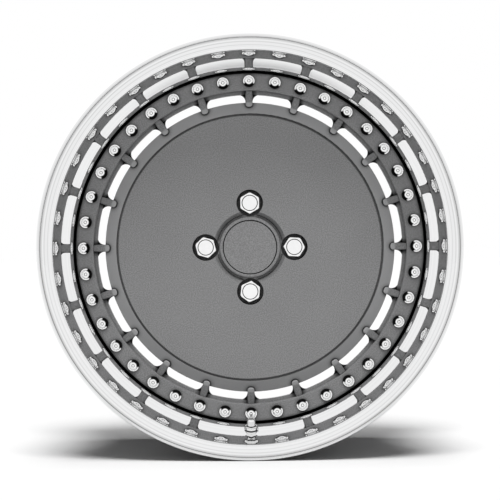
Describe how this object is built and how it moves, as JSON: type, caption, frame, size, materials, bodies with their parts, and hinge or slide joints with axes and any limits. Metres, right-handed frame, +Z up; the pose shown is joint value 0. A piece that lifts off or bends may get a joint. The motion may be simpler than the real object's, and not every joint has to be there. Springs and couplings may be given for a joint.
{
  "type": "alloy wheel",
  "caption": "Three-piece alloy car wheel with a deep polished lip, a flat dark disc centre with a ring of windows, bright bolts round its edge and four lug nuts.",
  "frame": {"origin": "the wheel's centre: on the axle line, at the rim's middle plane", "axes": "+Y along the axle towards the car, -Y to the street side, +Z up with the tyre valve lowest"},
  "size_m": [0.4646, 0.2478, 0.4646],
  "materials": {
    "centre_paint": "satin dark grey metallic paint",
    "polished_lip": "mirror polished",
    "bare_barrel": "machined, clear coated",
    "sealant": "cured sealant",
    "bolt_chrome": "bright plated",
    "washer_steel": "zinc plated",
    "nut_steel": "zinc plated",
    "cap_paint": "satin dark grey metallic paint",
    "cap_face_paint": "satin dark grey metallic paint",
    "spring_steel": "plain spring steel",
    "lug_chrome": "bright chrome",
    "valve_chrome": "bright plated brass",
    "valve_rubber": "moulded rubber",
    "valve_seal_rubber": "moulded rubber",
    "valve_nut_chrome": "bright plated brass",
    "core_brass": "plain brass",
    "valve_cap_chrome": "bright plated",
    "cap_seal_rubber": "moulded rubber"
  },
  "bodies": {
    "root": {"wheel_centre": "centre_paint", "outer_lip": "polished_lip", "inner_barrel": "bare_barrel", "joint_seal": "sealant", "assembly_bolts": "bolt_chrome", "assembly_washers": "washer_steel", "assembly_nuts": "nut_steel", "cap_body": "cap_paint", "cap_disc": "cap_face_paint", "cap_spring_ring": "spring_steel", "lug_nuts": "lug_chrome", "valve_stem": "valve_chrome", "valve_grommet": "valve_rubber", "valve_seal": "valve_seal_rubber", "valve_nut": "valve_nut_chrome", "valve_core": "core_brass", "valve_cap": "valve_cap_chrome", "valve_cap_seal": "cap_seal_rubber"}
  },
  "joints": []
}
